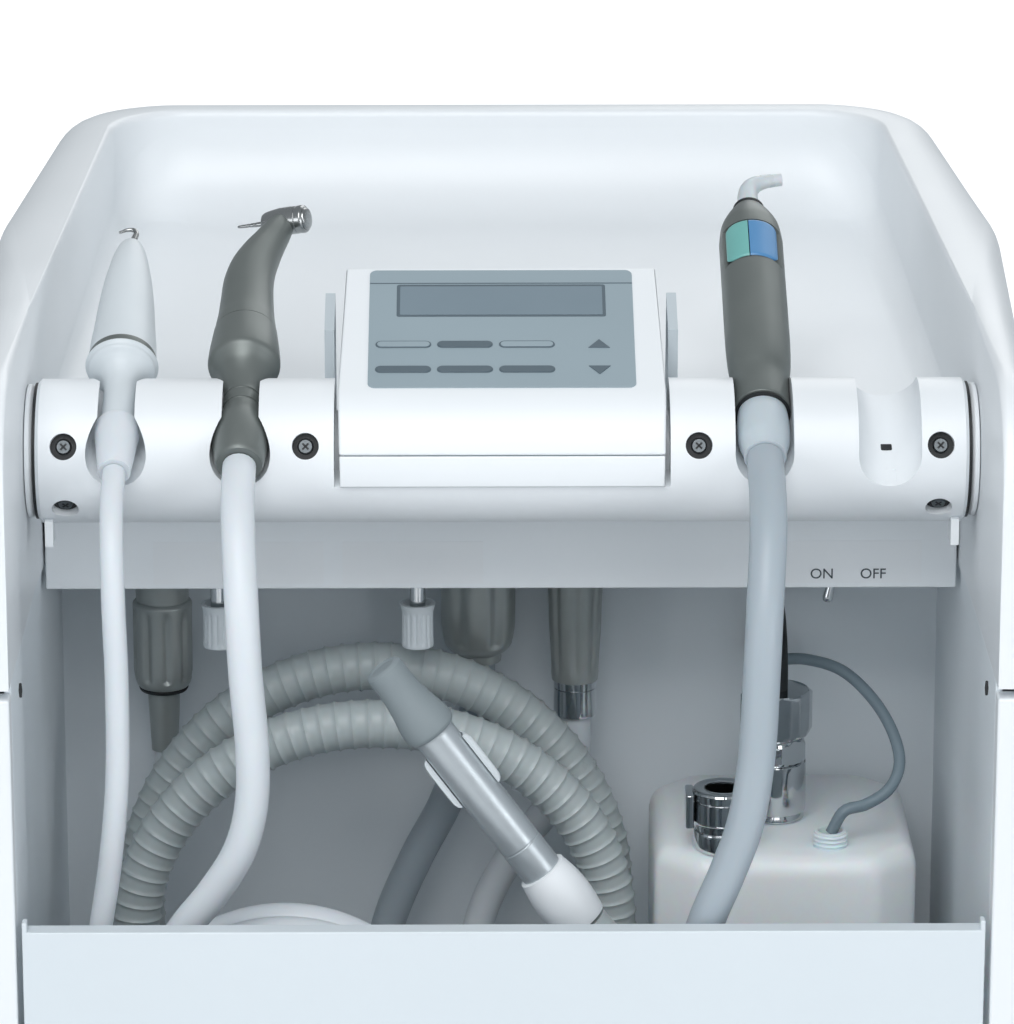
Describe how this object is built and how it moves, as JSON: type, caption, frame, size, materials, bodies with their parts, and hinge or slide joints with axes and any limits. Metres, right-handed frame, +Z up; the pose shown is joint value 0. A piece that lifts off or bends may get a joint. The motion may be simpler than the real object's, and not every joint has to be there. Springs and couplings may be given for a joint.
{
  "type": "portable dental unit",
  "caption": "Wheeled dental cabinet with an instrument tray, a holder bar with a tilting keypad console, a scaler, a motor handpiece, a spray syringe, a suction hose and a water bottle.",
  "frame": {"origin": "on the floor, under the middle of the cabinet", "axes": "+X to the operator's right, +Y from the open front to the back, +Z up"},
  "size_m": [0.3368, 0.39, 0.641],
  "materials": {
    "shell": "satin moulded white",
    "panel": "powder coated white",
    "lining": "powder coated cool grey",
    "base": "powder coated grey",
    "cradle": "matt grey",
    "film": "matt printed film",
    "handpiece_white": "fine matt",
    "taupe_metal": "anodised satin",
    "hose_white": "smooth silicone",
    "hose_grey": "ribbed",
    "boot_grey": "smooth silicone",
    "tip_grey": "matt",
    "chrome": "polished",
    "steel": "brushed",
    "air_blue": "glossy blue",
    "water_aqua": "glossy aqua",
    "bottle": "translucent white",
    "black": "matt black",
    "board": "circuit board",
    "iron": "painted casting",
    "alloy": "cast",
    "tyre": "grey rubber"
  },
  "bodies": {
    "cabinet": {"upper_shell": "shell", "lower_cabinet": "shell", "compartment_liner": "lining", "apron": "panel", "bulkhead": "lining", "base_plate": "base", "rear_cover": "panel", "holder_bar": "shell", "end_discs": "shell", "holder_screws": "steel", "console_cradle": "cradle", "scaler_plug": "taupe_metal", "motor_plug": "taupe_metal", "syringe_plug": "taupe_metal", "valve_bodies": "chrome", "water_bottle": "bottle", "open_coupling": "chrome", "line_coupling": "chrome", "sensor_plug": "black", "sensor_cable": "tip_grey", "suction_hose": "hose_grey", "scaler_hose": "hose_white", "motor_hose": "hose_white", "syringe_hose": "boot_grey", "compressor": "iron", "vacuum_pump": "alloy", "waste_tank": "bottle", "control_board": "board", "mains_inlet": "black"},
    "console": {"console_case": "shell", "keypad_film": "film"},
    "scaler": {"scaler_body": "handpiece_white", "scaler_tip": "steel", "scaler_boot": "hose_white"},
    "motor_handpiece": {"contra_angle": "taupe_metal", "micromotor": "taupe_metal"},
    "bur": {"bur": "steel"},
    "chuck_button": {"chuck_button": "chrome"},
    "syringe": {"syringe_body": "taupe_metal", "syringe_boot": "boot_grey"},
    "nozzle": {"syringe_nozzle": "hose_white"},
    "air_button": {"air_button": "air_blue"},
    "water_button": {"water_button": "water_aqua"},
    "suction_handpiece": {"suction_tip": "tip_grey", "suction_body": "chrome", "suction_cap": "handpiece_white"},
    "suction_slide": {"suction_slide": "handpiece_white"},
    "knob_left": {"spray_knob_left": "handpiece_white"},
    "knob_right": {"spray_knob_right": "handpiece_white"},
    "toggle": {"toggle_lever": "chrome"},
    "front_panel": {"front_panel": "panel"},
    "rocker": {"power_rocker": "black"},
    "fork_fl": {"castor_fork_fl": "steel"},
    "fork_fr": {"castor_fork_fr": "steel"},
    "fork_bl": {"castor_fork_bl": "steel"},
    "fork_br": {"castor_fork_br": "steel"},
    "wheel_fl": {"castor_wheel_fl": "tyre"},
    "wheel_fr": {"castor_wheel_fr": "tyre"},
    "wheel_bl": {"castor_wheel_bl": "tyre"},
    "wheel_br": {"castor_wheel_br": "tyre"}
  },
  "joints": [
    {"name": "console_tilt", "type": "hinge", "parent": "cabinet", "child": "console", "pos_m": [0, -0.108, 0.58], "axis": [1, 0, 0], "range_deg": [-15, 0]},
    {"name": "scaler_lift", "type": "slide", "parent": "cabinet", "child": "scaler", "axis": [0, 0.9135, 0.4067], "range_m": [0, 0.055]},
    {"name": "motor_lift", "type": "slide", "parent": "cabinet", "child": "motor_handpiece", "axis": [0, 0.9135, 0.4067], "range_m": [0, 0.055]},
    {"name": "bur_spin", "type": "hinge", "parent": "motor_handpiece", "child": "bur", "pos_m": [-0.0671, -0.0255, 0.63073], "axis": [0.9183, -0.3433, 0.1972], "continuous": true},
    {"name": "chuck_press", "type": "slide", "parent": "motor_handpiece", "child": "chuck_button", "axis": [-0.9183, 0.3433, -0.1972], "range_m": [0, 0.0006], "stiffness_N_per_m": 3000, "springref_m": -0.0003},
    {"name": "syringe_lift", "type": "slide", "parent": "cabinet", "child": "syringe", "axis": [0, 0.9135, 0.4067], "range_m": [0, 0.055]},
    {"name": "nozzle_turn", "type": "hinge", "parent": "syringe", "child": "nozzle", "pos_m": [0.0778, -0.129, 0.58465], "axis": [0, 0.9135, 0.4067], "continuous": true},
    {"name": "air_press", "type": "slide", "parent": "syringe", "child": "air_button", "axis": [0, 0.4067, -0.9135], "range_m": [0, 0.0012], "stiffness_N_per_m": 1500, "springref_m": -0.0004},
    {"name": "water_press", "type": "slide", "parent": "syringe", "child": "water_button", "axis": [0, 0.4067, -0.9135], "range_m": [0, 0.0012], "stiffness_N_per_m": 1500, "springref_m": -0.0004},
    {"name": "suction_lift", "type": "slide", "parent": "cabinet", "child": "suction_handpiece", "axis": [0, 0, 1], "range_m": [0, 0.06]},
    {"name": "suction_valve", "type": "slide", "parent": "suction_handpiece", "child": "suction_slide", "axis": [0.5948, 0, -0.8039], "range_m": [0, 0.008]},
    {"name": "spray_knob_left_turn", "type": "hinge", "parent": "cabinet", "child": "knob_left", "pos_m": [-0.088, -0.061, 0.51], "axis": [0, 0, 1], "range_deg": [0, 270]},
    {"name": "spray_knob_right_turn", "type": "hinge", "parent": "cabinet", "child": "knob_right", "pos_m": [-0.026, -0.061, 0.51], "axis": [0, 0, 1], "range_deg": [0, 270]},
    {"name": "spray_toggle", "type": "hinge", "parent": "cabinet", "child": "toggle", "pos_m": [0.105, -0.063, 0.534], "axis": [0, 1, 0], "range_deg": [-24, 0]},
    {"name": "panel_lift", "type": "slide", "parent": "cabinet", "child": "front_panel", "axis": [0, 0, 1], "range_m": [0, 0.2]},
    {"name": "power_switch", "type": "hinge", "parent": "cabinet", "child": "rocker", "pos_m": [0.058, 0.189, 0.194], "axis": [0, 0, 1], "range_deg": [-20, 0]},
    {"name": "swivel_fl", "type": "hinge", "parent": "cabinet", "child": "fork_fl", "pos_m": [-0.116, -0.148, 0.065], "axis": [0, 0, 1], "continuous": true},
    {"name": "swivel_fr", "type": "hinge", "parent": "cabinet", "child": "fork_fr", "pos_m": [0.116, -0.148, 0.065], "axis": [0, 0, 1], "continuous": true},
    {"name": "swivel_bl", "type": "hinge", "parent": "cabinet", "child": "fork_bl", "pos_m": [-0.116, 0.148, 0.065], "axis": [0, 0, 1], "continuous": true},
    {"name": "swivel_br", "type": "hinge", "parent": "cabinet", "child": "fork_br", "pos_m": [0.116, 0.148, 0.065], "axis": [0, 0, 1], "continuous": true},
    {"name": "wheel_spin_fl", "type": "hinge", "parent": "fork_fl", "child": "wheel_fl", "pos_m": [-0.116, -0.13, 0.028], "axis": [1, 0, 0], "continuous": true},
    {"name": "wheel_spin_fr", "type": "hinge", "parent": "fork_fr", "child": "wheel_fr", "pos_m": [0.116, -0.13, 0.028], "axis": [1, 0, 0], "continuous": true},
    {"name": "wheel_spin_bl", "type": "hinge", "parent": "fork_bl", "child": "wheel_bl", "pos_m": [-0.116, 0.166, 0.028], "axis": [1, 0, 0], "continuous": true},
    {"name": "wheel_spin_br", "type": "hinge", "parent": "fork_br", "child": "wheel_br", "pos_m": [0.116, 0.166, 0.028], "axis": [1, 0, 0], "continuous": true}
  ]
}
